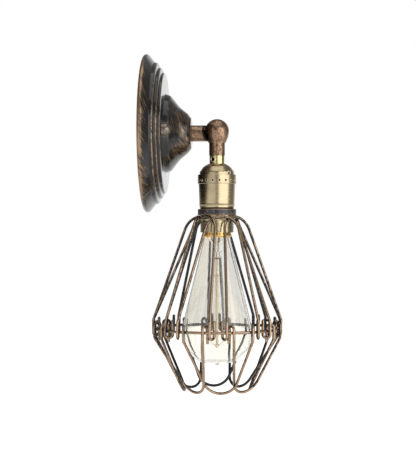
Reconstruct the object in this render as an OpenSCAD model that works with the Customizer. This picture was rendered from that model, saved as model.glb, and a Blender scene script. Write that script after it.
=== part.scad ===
/* [Wall plate] */
// Diameter of the wall plate
plate_d = 140; // [136:1:156]
// Depth of the wall plate from the wall to its flat nose
plate_depth = 41.5; // [38:0.5:46]
// Thickness of the spun steel sheet
plate_t = 1; // [0.8:0.1:1.2]
// Distance between the two cap nuts
nut_spacing = 88.9; // [84:0.1:90]
// Diameter of the cap nuts
nut_d = 11; // [9:0.5:12]
// How far a cap nut stands out of the plate
nut_h = 8.4; // [7:0.2:11]
// Diameter of the plate studs
stud_d = 4.2; // [3.4:0.1:4.8]

/* [Wall bracket] */
// Thickness of the crossbar
bar_t = 2; // [1.5:0.1:3]
// Width of the crossbar
bar_w = 18; // [16:0.5:24]
// Distance between the screws into the wall box
box_spacing = 69.85; // [66:0.05:71]
// Radius of the slots for the box screws
box_hole_r = 2.25; // [2:0.05:2.4]
// How far a box screw can shift along its slot
box_slot = 4; // [2:0.5:4]

/* [Arm and ball] */
// Visible length of the arm tube between the plate and the ball's washer
arm_show = 9.5; // [8:0.5:18]
// Outer diameter of the arm tube
arm_d = 14.2; // [13:0.2:15]
// Bore of the arm and of the stem for the leads
lead_bore = 6.4; // [6:0.1:7]
// Diameter of the swivel ball
ball_d = 21.2; // [20:0.2:23]
// Height of the ball's centre over the arm's axis
ball_rise = 2; // [0:0.5:2.5]
// Diameter of the pivot screw
pivot_d = 3; // [2.5:0.1:4]
// Diameter of the stem under the ball
stem_d = 14; // [13:0.2:15]
// Height of the stem's lower end under the arm's axis
stem_drop = 19.6; // [18.5:0.1:24]

/* [Socket] */
// Diameter of the socket's neck
neck_d = 13.2; // [12.8:0.1:14]
// Height of the socket's neck
neck_h = 7.4; // [7:0.1:9]
// Diameter of the domed cap
cap_d = 30.6; // [29.6:0.2:31]
// Height of the domed cap
cap_h = 8.9; // [8:0.1:11]
// Diameter of the vent band
band_d = 33.8; // [33:0.1:36]
// Height of the vent band
band_h = 8.2; // [8:0.1:10]
// Number of vent holes
vent_count = 18; // [12:1:24]
// Diameter of a vent hole
vent_d = 1.7; // [1.2:0.1:2.4]
// Height of the socket shell under the band
shell_h = 20.8; // [18:0.2:26]
// Diameter of the shell at its lower end
shell_end_d = 30.6; // [30.2:0.1:31]
// Thickness of the socket's brass sheet
brass_t = 0.6; // [0.4:0.1:0.7]
// Height of the thread sleeve under the shell
sleeve_h = 22; // [20:0.2:25]

/* [Cage] */
// Diameter of the cage wire
wire_d = 2.5; // [2:0.1:2.8]
// Radius of the cage ring, to the middle of its wire
ring_r = 54; // [50:0.5:58]
// Height of the cage ring under the arm's axis
ring_drop = 172.5; // [165:0.5:180]
// Height of the cage's lowest point under the arm's axis
cage_drop = 227.8; // [225:0.5:235]
// Radius of the upper arches
arch_r = 15; // [13:0.5:16]
// Distance of the upper arches from the lamp's axis
arch_reach = 17.8; // [17:0.1:20]
// Turn of the upper arches round the lamp's axis against their feet
arch_turn = 14.5; // [10:0.5:18]
// Half the angle between the two feet of an upper pair
pair_turn = 7.4; // [6:0.2:8]
// Radius of the lower arches
petal_r = 15; // [13:0.5:16]
// Distance of the lower arches from the lamp's axis
petal_reach = 29; // [27:0.5:32]
// Half the angle between the two feet of a petal
petal_turn = 31.5; // [30:0.5:32.5]
// Angle at which the cage is screwed home
cage_turn = 4; // [0:1:8]
// Diameter of the cage collar
collar_d = 34; // [33.6:0.1:36]
// Height of the cage collar
collar_h = 5.5; // [4.5:0.1:6]

/* [Bulb] */
// Largest diameter of the bulb
bulb_d = 62; // [58:0.5:64]
// Height of the bulb's lowest point under the arm's axis
bulb_drop = 205.6; // [200:0.2:210]
// Diameter of the bulb's glass at its base
bulb_neck_d = 23.4; // [22:0.2:24]
// Thickness of the bulb's glass
glass_t = 0.8; // [0.6:0.1:1]
// Diameter of the bulb's screw base
base_d = 26.2; // [25.8:0.1:26.3]
// Visible height of the bulb's base under the socket
base_show = 4.4; // [3:0.1:6]

/* [Hidden] */

// Colours
black_coat = "#2b2623";
old_copper = "#8a6248";
old_brass = "#a8996c";
dark_steel = "#3d3b3c";
bright_steel = "#b9bbbd";
gold = "#d8a848";
porcelain = "#e8e4da";
clear_glass = [0.93, 0.9, 0.82, 0.4];

// Clearances: a turning fit, a seat, and a gap between parts that pass each other
run_gap = 0.05;
seat_gap = 0.1;
pass_gap = 0.3;
// How far a cut runs past the face that it leaves
overrun = 1;

// Wall plate values
plate_r = plate_d / 2;
stud_r = stud_d / 2;
plate_bend = 1.5;
groove_bend = 0.8;
nose_bend = 2.6;
face_bend = 0.3;
bell_bend = 20;
// Outline of the plate: depth from the wall as a share of its depth, radius as a share of its radius
plate_shares = [
  [0, 0.94], [0, 1.065], [0.228, 0.896], [0.308, 0.884], [0.313, 0.829],
  [0.385, 0.819], [0.39, 0.764], [0.446, 0.757], [0.446, 0.5], [0.9, 0.243], [1, 0.204]];
face_share = 0.446;
face_x = plate_depth * face_share;
nose_in = plate_depth - plate_t;
nipple_r = 4.9;
nipple_hole_r = nipple_r + seat_gap;
nut_chamfer = 0.4;
nut_base_share = 0.38;
nut_bore_share = 0.65;
stud_share = 0.6;

// Arm and ball values
ball_r = ball_d / 2;
ball_wall = 2.2;
ball_hollow_r = ball_r - ball_wall;
ball_step = 2.4;
arm_end = plate_depth + arm_show;
head_x = arm_end + ball_step + ball_r;
bore_r = lead_bore / 2;
lead_d = 1.6;
split_gap = 0.15;
arm_r = arm_d / 2;
stem_r = stem_d / 2;
neck_r = neck_d / 2;
boss_wall = 1.8;
boss_r = pivot_d / 2 + boss_wall;
plug_step = 0.6;
arm_plug_r = nipple_r + plug_step;
arm_plug_l = 5;
bore_run = 2;
// The near half of the ball turns inside a drum about the pivot, and the arm's end is scooped to a wider one
swing_gap = 0.8;
swing_r = ball_r + swing_gap;
scoop_r = ball_r + ball_step;
// Outline of the skirt under the near half: radius and drop under the ball's centre as shares of its radius
skirt_shares = [[0.985, 0.17], [0.93, 0.47], [0.8, 0.82]];
skirt_step = 0.35;
skirt_r = stem_r + skirt_step;
skirt_z = ball_rise - ball_r - seat_gap;
spigot_l = 6.2;
pivot_head_step = 1.1;
pivot_head_r = pivot_d / 2 + pivot_head_step;
pivot_head_t = 1.6;
pivot_share = 0.8;
pivot_head_share = 0.7;
pivot_slot_share = 0.3;
screw_slot_w = 0.7;
lead_side = 1.4;
lead_space = 0.95;
lead_start = 6;
lead_room = 2.2;
lead_top_room = 1.6;
lead_slope = 5;
lead_bend = 3;
lock_t = 4;
lock_af = 17;
lock_washer_t = 0.9;
lock_washer_r = 7.6;
nipple_over = 2;

// Bracket values
bar_tail = 7;
bar_l = nut_spacing + 2 * bar_tail;
bar_disc_edge = 3;
bar_hole_edge = 4;
stud_gap = 0.02;
locknut_t = 2.6;
locknut_af = 8.6;
ground_r = 1.75;
ground_x = 13;
ground_head_r = 3.4;
ground_head_t = 2;
ground_crown_share = 0.7;

// Socket levels under the arm's axis, and their radii
cap_to_band = 0.7;
shell_to_collar = 1.3;
z_neck = -stem_drop;
z_cap = z_neck - neck_h;
z_band = z_cap - cap_h - cap_to_band;
z_shell = z_band - band_h;
z_shell_end = z_shell - shell_h;
z_sleeve_end = z_shell_end - sleeve_h;
z_collar = z_shell_end - shell_to_collar;
z_collar_end = z_collar - collar_h;
edge = 0.3;
neck_foot_step = 0.9;
neck_lip = 1.6;
neck_lip_t = 0.8;
cap_r = cap_d / 2;
cap_flat = 1.2;
cap_line_gap = 0.04;
// Outline of the cap's dome: radius and drop as shares of the cap's radius and height
cap_shoulder_share = [0.78, 0.28];
cap_rim_share = 0.8;
cap_tuck_share = 0.35;
cap_bends = [2, 8, 3];
band_r = band_d / 2;
lip_h = 0.8;
band_in_r = band_r - brass_t - seat_gap;
shell_top_r = band_in_r - seat_gap;
shell_end_r = shell_end_d / 2;
shell_tuck = 2;
shell_edge = 0.5;
shell_bead = 0.45;
shell_bead_h = 1.6;
shell_waist = 0.1;
shell_swell = 0.2;
bead_mid_share = 1.5;
sleeve_step = 0.4;
sleeve_r = shell_end_r - sleeve_step;
sleeve_tuck_r = shell_end_r - brass_t - seat_gap;
sleeve_tuck = 4.5;
sleeve_groove = 0.45;
sleeve_waist_r = sleeve_r - sleeve_groove;
sleeve_bead_drop = 4.8;
sleeve_bead_z = z_collar_end - sleeve_bead_drop;
sleeve_bead_h = 2.6;
sleeve_edge = 1;
sleeve_slope = 0.6;
sleeve_bends = [0.1, 0.1, 0.2, 0.2, 0.3, 1, 0.3, 0.3];
cup_step = 0.3;
cup_r = sleeve_r - cup_step;
collar_edge = 0.5;
set_screw_r = 1.6;
set_screw_turn = -122;
set_screw_z = z_neck - neck_h / 2;
set_screw_sunk = 0.5;
set_screw_slot = 0.5;
cap_screw_r = 1.1;
cap_screw_turn = -44;
cap_screw_tilt_turn = 78;
cap_screw_drop = 2;
cap_screw_in = 3.4;
cap_screw_out = 0.25;
vent_drop = 1.2;
vent_z = z_band - band_h / 2 - vent_drop;

// Lampholder values
holder_r = sleeve_tuck_r - brass_t - seat_gap;
holder_flange_r = shell_end_r - brass_t - seat_gap;
holder_drop = 3;
holder_top = z_shell - holder_drop;
holder_edge = 0.6;
holder_flange_t = 4;
holder_show = 0.5;
holder_end = z_shell_end - holder_show;
holder_well = 2;
screw_shell_gap = 0.6;
screw_shell_r = base_d / 2 + screw_shell_gap;
screw_shell_t = 0.4;
screw_shell_up = 1.2;
screw_shell_end = z_sleeve_end + screw_shell_up;
terminal_x = 8;
terminal_r = 1.5;
terminal_l = 4.6;
terminal_hole = 5;
terminal_head_r = 2.6;
terminal_head_t = 1.4;
terminal_slot_share = 0.6;
contact_w = 5;
contact_t = 0.4;
// Points of the spring tongue across the contact, as shares of its width, and how far its tip stands off
tongue_shares = [-0.72, 0.68, 0.12, -0.6];
tongue_rise = 1.2;
lead_turn_drop = 3;
lead_turn_z = z_cap - lead_turn_drop;

// Bulb levels and radii
bulb_r = bulb_d / 2;
bulb_neck_r = bulb_neck_d / 2;
base_r = base_d / 2;
z_glass = z_sleeve_end - base_show;
contact_room = 1;
z_base_top = holder_end - contact_room;
bulb_wide_share = 0.72;
z_bulb_wide = z_glass - (bulb_drop + z_glass) * bulb_wide_share;
tip_h = 3.6;
tip_r = 2.6;
tip_foot = 2.5;
z_bulb_flat = -bulb_drop + tip_h;
bulb_rise = 1.5;
bulb_start = 1;
bulb_swell = 0.6;
// Outline of the bulb's lower end: radius and height as shares
bulb_low_share = [0.93, 0.42];
bulb_flat_share = 0.44;
bulb_flat_edge = 3;
bulb_bends = [4, 14, 12, 6];
// Outline of the sealed tip: radius and height as shares of the tip's
tip_shares = [[1, 0.806], [0.75, 0.4], [0.4, 0.111]];
tip_in_share = 0.444;
contact_r = 4.2;
contact_h = 1.5;
contact_crown_share = 0.6;
insulator_r = 9;
insulator_h = 2.4;
insulator_edge = 0.4;
insulator_step = 0.6;
thread_pitch = 3.63;
thread_depth = 0.5;
thread_turns = 4;
thread_start = 1;
base_t = 0.5;
base_edge = 0.6;
base_foot = 0.4;
base_rim = 0.2;
base_rim_h = 1.6;
base_rim_share = 0.75;
glass_gap = 0.1;
stem_up = 1.4;
stem_foot_t = 0.8;
stem_foot_l = 5;
stem_tip_r = 4.4;
stem_tube_l = 19;
stem_press_l = 3;
stem_press_r = 0.6;
stem_bends = [0.2, 0.2, 2.5, 2, 0.4];
stem_end = z_glass - stem_tube_l;
rod_d = 2.6;
rod_share = 0.86;
rod_end = z_glass - (bulb_drop + z_glass) * rod_share;
bead_d = 4.6;
bead_flat_share = 0.667;
bead_drop = 14.8;
bead_top_z = stem_end - bead_drop;
bead_low_z = rod_end + bead_d / 2;
filament_d = 0.5;
filament_spread = 13;
filament_count = 8;
filament_near_share = 0.55;
filament_fall = 4;
filament_rise = 8;
filament_bend = 4;

// Cage values
wire_count = 8;
wire_turn = 360 / wire_count;
wire_r = wire_d / 2;
z_ring = -ring_drop;
hook_gap = 0.12;
hook_r = wire_d + hook_gap;
leg_r = ring_r + hook_r;
hook_drop = 2.9;
hook_skew = 3.3;
stub_rise = 9;
kink_rise = 8;
kink_bend = 7;
foot_turn = wire_turn - pair_turn;
first_turn = cage_turn - 90;
arch_z = z_collar_end - wire_r - seat_gap;
arch_yaw_turn = 18.4;
petal_top_turn = 6;
petal_yaw_turn = 9.9;
petal_stub = 8.5;
petal_kink = 7;
petal_z = -cage_drop + wire_r;
wire_sides = 8;
arch_steps = 12;
hook_steps = 5;
bend_steps = 3;

// Unit vector along v
function unit(v) = v / norm(v);

// Points round the corner b of the way a, b, c, on an arc of radius r in n steps
function bend(a, b, c, r, n) =
  let (into = unit(b - a), out = unit(c - b), turn = acos(into * out), cut = r * tan(turn / 2),
    side = unit(out - into * (into * out)), centre = b - into * cut + side * r)
  [for (i = [0:n]) centre - side * r * cos(turn * i / n) + into * r * sin(turn * i / n)];

// An outline whose inner corners are rounded, each with its own radius
function rounded(points, radii, n) =
  concat([points[0]],
    [for (i = [1:len(points) - 2]) each bend(points[i - 1], points[i], points[i + 1], radii[i - 1], n)],
    [points[len(points) - 1]]);

// An open outline moved sideways by t, to the left of its way
function beside(points, t) =
  [for (i = [0:len(points) - 1])
    let (last = len(points) - 1,
      u = i == 0 ? unit(points[1] - points[0]) : unit(points[i] - points[i - 1]),
      v = i == last ? u : unit(points[i + 1] - points[i]),
      m = unit(u + v))
    points[i] + [-m[1], m[0]] * t / (m * u)];

function reversed(list) = [for (i = [len(list) - 1:-1:0]) list[i]];

// A closed outline of a sheet of thickness t along an open outline
function sheet(points, t) = concat(points, reversed(beside(points, t)));

// Turns an outline of radius and height round the Z axis
module turned(points) {
  rotate_extrude($fn = 96) polygon(points);
}

// Turns an outline of [distance along +X, radius] round the X axis
module turned_x(points) {
  rotate([0, 90, 0]) rotate_extrude($fn = 96) polygon([for (p = points) [p[1], p[0]]]);
}

// A round bar along +X from x0 to x1
module bar_x(x0, x1, r) {
  translate([x0, 0, 0]) rotate([0, 90, 0]) cylinder(h = x1 - x0, r = r, $fn = 64);
}

// A round tube round the Z axis from z0 up to z1
module tube_z(z0, z1, r_out, r_in) {
  difference() {
    translate([0, 0, z0]) cylinder(h = z1 - z0, r = r_out, $fn = 96);
    translate([0, 0, z0 - overrun]) cylinder(h = z1 - z0 + 2 * overrun, r = r_in, $fn = 96);
  }
}

// A hexagon nut along +X with its bore
module hex_nut(x0, t, across, bore) {
  difference() {
    translate([x0, 0, 0]) rotate([0, 90, 0]) cylinder(h = t, r = across / sqrt(3), $fn = 6);
    bar_x(x0 - overrun, x0 + t + overrun, bore);
  }
}

// Vector v turned as the unit vector a turns to the unit vector b
function carried(v, a, b) =
  let (c = a * b, x = cross(a, b)) c > 0.999999 ? v : v * c + cross(x, v) + x * (x * v) / (1 + c);

// Direction of the way p at its point i
function heading(p, i) =
  let (last = len(p) - 1)
  i == 0 ? unit(p[1] - p[0]) :
  i == last ? unit(p[last] - p[last - 1]) :
  unit(unit(p[i + 1] - p[i]) + unit(p[i] - p[i - 1]));

// One sideways vector for each point of the way p, carried along without twisting
function sideways(p) =
  [for (i = 0, t = heading(p, 0), n = unit(cross(t, abs(t[2]) > 0.9 ? [1, 0, 0] : [0, 0, 1])); i < len(p);
    i = i + 1, u = i < len(p) ? heading(p, i) : t, n = carried(n, t, u), t = u) n];

// Round wire of diameter d along the way p
module wire(p, d, sides) {
  ns = sideways(p);
  last = len(p) - 1;
  polyhedron(
    points = [for (i = [0:last]) let (t = heading(p, i), n = ns[i], b = cross(t, n))
      for (k = [0:sides - 1]) p[i] + d / 2 * (n * cos(360 * k / sides) + b * sin(360 * k / sides))],
    faces = concat(
      [[for (k = [0:sides - 1]) k]],
      [for (i = [0:last - 1]) for (k = [0:sides - 1])
        each let (k2 = (k + 1) % sides, a = i * sides + k, b = i * sides + k2, c = a + sides, e = b + sides)
        [[a, c, b], [b, c, e]]],
      [[for (k = [sides - 1:-1:0]) last * sides + k]]));
}

// Places its child on the lamp's axis
module on_head() {
  translate([head_x, 0, 0]) children();
}

// Wall plate: the outline's corners and their bends, from the wall to the edge of the arm's hole
plate_corners = concat(
  [for (s = plate_shares) [s[0] * plate_depth, s[1] * plate_r]],
  [[plate_depth, nipple_hole_r]]);
plate_bends = [
  plate_t + plate_bend, groove_bend, plate_t + plate_bend, groove_bend, plate_t + plate_bend,
  groove_bend, plate_t + face_bend, plate_bend, bell_bend, plate_t + nose_bend];
plate_line = rounded(plate_corners, plate_bends, 6);

module canopy() {
  color(black_coat) difference() {
    turned_x(sheet(plate_line, -plate_t));
    for (side = [-1, 1]) translate([0, side * nut_spacing / 2, 0])
      bar_x(0, plate_depth, stud_r + pass_gap);
  }
}

module crossbar() {
  color(bright_steel) difference() {
    union() {
      translate([0, -bar_l / 2, -bar_w / 2]) cube([bar_t, bar_l, bar_w]);
      bar_x(0, bar_t, ground_x + ground_r + bar_disc_edge);
    }
    bar_x(-overrun, bar_t + overrun, bore_r + bar_hole_edge);
    for (side = [-1, 1]) translate([0, side * nut_spacing / 2, 0])
      bar_x(-overrun, bar_t + overrun, stud_r + stud_gap);
    for (side = [-1, 1]) translate([0, side * box_spacing / 2, 0]) {
      for (end = [-1, 1]) translate([0, end * box_slot / 2, 0]) bar_x(-overrun, bar_t + overrun, box_hole_r);
      translate([-overrun, -box_slot / 2, -box_hole_r]) cube([bar_t + 2 * overrun, box_slot, 2 * box_hole_r]);
    }
    translate([0, 0, -ground_x]) bar_x(-overrun, bar_t + overrun, ground_r + stud_gap);
  }
}

module canopy_studs() {
  color(bright_steel) for (side = [-1, 1]) translate([0, side * nut_spacing / 2, 0])
    bar_x(0, face_x + nut_h * stud_share, stud_r);
}

module stud_locknuts() {
  color(bright_steel) for (side = [-1, 1]) translate([0, side * nut_spacing / 2, 0])
    hex_nut(bar_t + stud_gap, locknut_t, locknut_af, stud_r + stud_gap);
}

module canopy_cap_nuts() {
  r = nut_d / 2;
  x0 = face_x + stud_gap;
  x_dome = x0 + nut_h * nut_base_share;
  dome = [for (a = [0:10:90]) [x_dome + nut_h * (1 - nut_base_share) * sin(a), r * cos(a)]];
  color(old_copper) for (side = [-1, 1]) translate([0, side * nut_spacing / 2, 0]) difference() {
    turned_x(concat([[x0, 0], [x0, r - nut_chamfer], [x0 + nut_chamfer, r]], dome));
    bar_x(x0 - overrun, x0 + nut_h * nut_bore_share, stud_r + stud_gap);
  }
}

module ground_screw() {
  color("#5c8f4a") translate([0, 0, -ground_x]) {
    bar_x(0, bar_t + stud_gap, ground_r);
    difference() {
      turned_x([[bar_t + stud_gap, 0], [bar_t + stud_gap, ground_head_r],
        [bar_t + ground_head_t / 2, ground_head_r],
        [bar_t + ground_head_t, ground_head_r * ground_crown_share], [bar_t + ground_head_t, 0]]);
      translate([bar_t + ground_head_t / 2, -screw_slot_w / 2, -ground_head_r])
        cube([ground_head_t, screw_slot_w, 2 * ground_head_r]);
    }
  }
}

// A drum about the pivot's axis, right through the ball
module drum(r) {
  at_ball() rotate([90, 0, 0]) cylinder(h = 4 * ball_r, r = r, center = true, $fn = 96);
}

// The arm tube is turned with a threaded nipple that goes through the plate's nose. Its other end is scooped
module arm_tube() {
  color(old_copper) difference() {
    union() {
      bar_x(plate_depth + stud_gap, head_x - ball_hollow_r, arm_r);
      bar_x(nose_in - lock_washer_t - lock_t - nipple_over, arm_end, nipple_r);
    }
    drum(scoop_r);
    bar_x(0, arm_end + overrun, bore_r);
    bar_x(arm_end - arm_plug_l, head_x, arm_plug_r + stud_gap);
  }
}

module arm_lock_washer() {
  x1 = nose_in - stud_gap;
  color(bright_steel) difference() {
    bar_x(x1 - lock_washer_t, x1, lock_washer_r);
    bar_x(x1 - lock_washer_t - overrun, x1 + overrun, nipple_r + seat_gap);
  }
}

module arm_locknut() {
  color(bright_steel)
    hex_nut(nose_in - lock_washer_t - lock_t - 2 * stud_gap, lock_t, lock_af, nipple_r + stud_gap);
}

// Everything on one side of the split plane, round the ball
module half_space(side, gap) {
  s = 4 * ball_r;
  translate([head_x - s / 2, side > 0 ? gap : -s - gap, ball_rise - s / 2]) cube([s, s, s]);
}

module at_ball() {
  translate([head_x, 0, ball_rise]) children();
}

// The room in which the near half of the ball swings: a drum about the pivot, and a cone round its skirt
module swing_room() {
  rim = skirt_shares[1];
  low = skirt_shares[2];
  fall = (rim[0] - low[0]) / (low[1] - rim[1]);
  reach = 2 - rim[1];
  intersection() {
    union() {
      drum(swing_r);
      at_ball() translate([0, 0, -2 * ball_r])
        cylinder(h = ball_r * reach, r1 = ball_r * (rim[0] - fall * reach) + pass_gap,
          r2 = ball_r * rim[0] + pass_gap, $fn = 96);
    }
    half_space(-1, -split_gap);
  }
}

// Skirt from the ball down to the stem
module skirt() {
  on_head() turned(concat(
    [[0, ball_rise]],
    [for (s = skirt_shares) [ball_r * s[0], ball_rise - ball_r * s[1]]],
    [[skirt_r, skirt_z], [0, skirt_z]]));
}

// Hollow of the ball round the pivot's boss on one side
module ball_hollow(side) {
  difference() {
    at_ball() sphere(r = ball_hollow_r, $fn = 96);
    at_ball() rotate([-90 * side, 0, 0]) cylinder(h = ball_r, r = boss_r, $fn = 64);
  }
}

// The far half of the ball, on a plug in the arm tube's end
module arm_half_ball() {
  color(old_copper) difference() {
    union() {
      intersection() {
        at_ball() sphere(r = ball_r, $fn = 96);
        half_space(1, split_gap);
      }
      bar_x(arm_end - arm_plug_l + seat_gap, head_x - ball_hollow_r, arm_plug_r);
    }
    swing_room();
    ball_hollow(1);
    bar_x(0, head_x - ball_hollow_r + bore_run, bore_r);
    at_ball() rotate([-90, 0, 0]) translate([0, 0, -overrun])
      cylinder(h = 2 * ball_r, r = pivot_d / 2 + seat_gap, $fn = 64);
    at_ball() rotate([-90, 0, 0]) translate([0, 0, ball_r - pivot_head_t])
      cylinder(h = pivot_head_t + overrun, r = pivot_head_r + seat_gap, $fn = 64);
  }
}

// Black washer between the arm's scooped end and the ball, dished to the ball's far half
module ball_washer() {
  color(dark_steel) difference() {
    intersection() {
      bar_x(arm_end, head_x - stem_r - pass_gap, arm_r);
      drum(scoop_r - stud_gap);
    }
    swing_room();
    at_ball() sphere(r = ball_r + seat_gap, $fn = 96);
    bar_x(arm_end - overrun, head_x, arm_plug_r + seat_gap);
  }
}

module pivot_screw() {
  head_y = ball_r - pivot_head_t + stud_gap;
  tail = ball_hollow_r * pivot_share;
  color(bright_steel) at_ball() difference() {
    union() {
      translate([0, -tail, 0]) rotate([-90, 0, 0]) cylinder(h = head_y + tail, r = pivot_d / 2, $fn = 64);
      translate([0, head_y, 0]) rotate([-90, 0, 0])
        cylinder(h = pivot_head_t * pivot_head_share, r = pivot_head_r, $fn = 64);
    }
    translate([-pivot_head_r, head_y + pivot_head_t * pivot_slot_share, -screw_slot_w / 2])
      cube([2 * pivot_head_r, pivot_head_t, screw_slot_w]);
  }
}

// Near half of the ball with its skirt and the stem
module head_half_ball() {
  spigot_end = z_neck - spigot_l;
  bore_top = ball_rise - ball_hollow_r * pivot_share;
  tail_room = ball_hollow_r * pivot_share + pass_gap;
  color(old_copper) difference() {
    union() {
      intersection() {
        union() {
          at_ball() sphere(r = ball_r, $fn = 96);
          skirt();
        }
        half_space(-1, split_gap);
      }
      difference() {
        on_head() union() {
          translate([0, 0, z_neck]) cylinder(h = ball_rise - ball_hollow_r - z_neck, r = stem_r, $fn = 96);
          translate([0, 0, spigot_end]) cylinder(h = z_neck - spigot_end, r = nipple_r, $fn = 96);
        }
        intersection() {
          at_ball() sphere(r = ball_r + pass_gap, $fn = 96);
          half_space(1, -split_gap);
        }
      }
    }
    ball_hollow(-1);
    on_head() translate([0, 0, spigot_end - overrun])
      cylinder(h = bore_top - spigot_end + overrun, r = bore_r, $fn = 64);
    translate([head_x, overrun, ball_rise]) rotate([90, 0, 0])
      cylinder(h = overrun + tail_room, r = pivot_d / 2 + run_gap, $fn = 64);
  }
}

// Two leads from the wall side through the arm into the ball
module arm_leads() {
  color("#1d1d1f") for (side = [-1, 1]) translate([0, lead_side, side * lead_space])
    bar_x(bar_t + lead_start, head_x - boss_r - lead_room, lead_d / 2);
}

// Two leads from the ball down the stem to the terminals
module head_leads() {
  for (side = [-1, 1]) {
    x0 = side * lead_space;
    x1 = side * terminal_x;
    z_end = holder_top + terminal_head_t + lead_d / 2;
    way = rounded([
      [x0, -lead_side, ball_rise - boss_r - lead_top_room], [x0, -lead_side, lead_turn_z],
      [x1, -lead_side, z_end + lead_slope], [x1, -lead_side / 2, z_end]], [lead_bend, lead_bend], 4);
    color(side > 0 ? "#1d1d1f" : "#e9e6df") on_head() wire(way, lead_d, wire_sides);
  }
}

module socket_neck() {
  foot_r = nipple_r + neck_foot_step;
  lip_r = foot_r + neck_lip;
  z_lip = z_cap - brass_t - seat_gap;
  color(old_brass) on_head() difference() {
    turned([
      [nipple_r + stud_gap, z_neck - stud_gap], [neck_r - edge, z_neck - stud_gap], [neck_r, z_neck - edge],
      [neck_r, z_cap], [foot_r, z_cap], [foot_r, z_lip], [lip_r, z_lip], [lip_r, z_lip - neck_lip_t],
      [nipple_r + stud_gap, z_lip - neck_lip_t]]);
    translate([0, 0, set_screw_z]) rotate([0, 90, set_screw_turn])
      cylinder(h = neck_r + overrun, r = set_screw_r + stud_gap, $fn = 48);
  }
}

module neck_set_screw() {
  color(dark_steel) on_head() translate([0, 0, set_screw_z]) rotate([0, 90, set_screw_turn]) difference() {
    translate([0, 0, nipple_r + stud_gap])
      cylinder(h = neck_r - nipple_r - set_screw_sunk, r = set_screw_r, $fn = 48);
    translate([-set_screw_r, -screw_slot_w / 2, neck_r - set_screw_sunk - set_screw_slot])
      cube([2 * set_screw_r, screw_slot_w, 2 * set_screw_slot]);
  }
}

// Domed cap: an arc from the neck to the rim, then a short skirt inside the band
cap_line = rounded([
  [nipple_r + neck_foot_step + seat_gap, z_cap - cap_line_gap], [neck_r + cap_flat, z_cap - cap_line_gap],
  [cap_r * cap_shoulder_share[0], z_cap - cap_h * cap_shoulder_share[1]],
  [cap_r, z_cap - cap_h * cap_rim_share], [cap_r, z_band - band_h * cap_tuck_share]], cap_bends, 6);
module socket_cap() {
  color(old_brass) on_head() difference() {
    turned(sheet(cap_line, -brass_t));
    cap_screw_axis() cylinder(h = cap_r * 2, r = cap_screw_r + stud_gap, $fn = 48);
  }
}

// Axis of the cap screw, nearly level, just over the band
module cap_screw_axis() {
  translate([0, 0, z_band - cap_screw_drop]) rotate([0, cap_screw_tilt_turn, cap_screw_turn])
    translate([0, 0, cap_r - cap_screw_in]) children();
}

module cap_screw() {
  color(dark_steel) on_head() cap_screw_axis()
    cylinder(h = cap_screw_in + cap_screw_out, r = cap_screw_r, $fn = 48);
}

module vent_band() {
  color(old_brass) on_head() difference() {
    turned([
      [cap_r + seat_gap, z_band], [band_r - edge, z_band], [band_r, z_band - edge], [band_r, z_shell + edge],
      [band_r - edge, z_shell], [band_in_r, z_shell], [band_in_r, z_band - lip_h],
      [cap_r + seat_gap, z_band - lip_h]]);
    for (i = [0:vent_count - 1]) translate([0, 0, vent_z]) rotate([0, 90, i * 360 / vent_count])
      cylinder(h = band_r + overrun, r = vent_d / 2, $fn = 24);
  }
}

// Socket shell: tucked into the band, tapering to its beaded lower end
shell_line = [
  [shell_top_r, z_shell + shell_tuck],
  [shell_top_r, z_shell - shell_edge],
  [shell_end_r + shell_swell, z_shell_end + 2 * shell_bead_h],
  [shell_end_r + shell_bead, z_shell_end + bead_mid_share * shell_bead_h],
  [shell_end_r + shell_waist, z_shell_end + shell_bead_h],
  [shell_end_r, z_shell_end]];
module socket_shell() {
  color(old_brass) on_head() turned(sheet(shell_line, -brass_t));
}

module lampholder_body() {
  color(porcelain) on_head() difference() {
    turned([
      [0, holder_top], [holder_flange_r - holder_edge, holder_top],
      [holder_flange_r, holder_top - holder_edge],
      [holder_flange_r, holder_top - holder_flange_t], [holder_r, holder_top - holder_flange_t],
      [holder_r, holder_end], [0, holder_end]]);
    translate([0, 0, holder_end - overrun]) cylinder(h = holder_well + overrun, r = contact_w, $fn = 64);
    for (side = [-1, 1]) translate([side * terminal_x, 0, holder_top - terminal_hole])
      cylinder(h = terminal_hole + overrun, r = terminal_r + stud_gap, $fn = 48);
  }
}

module terminal_screws() {
  color(old_brass) on_head() for (side = [-1, 1]) translate([side * terminal_x, 0, holder_top]) difference() {
    union() {
      translate([0, 0, -terminal_l]) cylinder(h = terminal_l + stud_gap, r = terminal_r, $fn = 48);
      translate([0, 0, stud_gap]) cylinder(h = terminal_head_t, r = terminal_head_r, $fn = 48);
    }
    translate([-terminal_head_r, -screw_slot_w / 2, terminal_head_t * terminal_slot_share])
      cube([2 * terminal_head_r, screw_slot_w, terminal_head_t]);
  }
}

module screw_shell() {
  r = screw_shell_r;
  color(old_brass) on_head() tube_z(screw_shell_end, holder_end - stud_gap, r, r - screw_shell_t);
}

// Sprung tongue that meets the bulb's centre contact
module contact_spring() {
  top = holder_end + holder_well - stud_gap;
  tip = z_base_top + stud_gap;
  x = [for (s = tongue_shares) s * contact_w];
  color(old_brass) on_head() rotate([90, 0, 0]) translate([0, 0, -contact_w / 2]) linear_extrude(contact_w)
    polygon(sheet(
      [[x[0], top], [x[1], top], [x[2], tip + contact_t], [x[3], tip + tongue_rise]], -contact_t));
}

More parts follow.
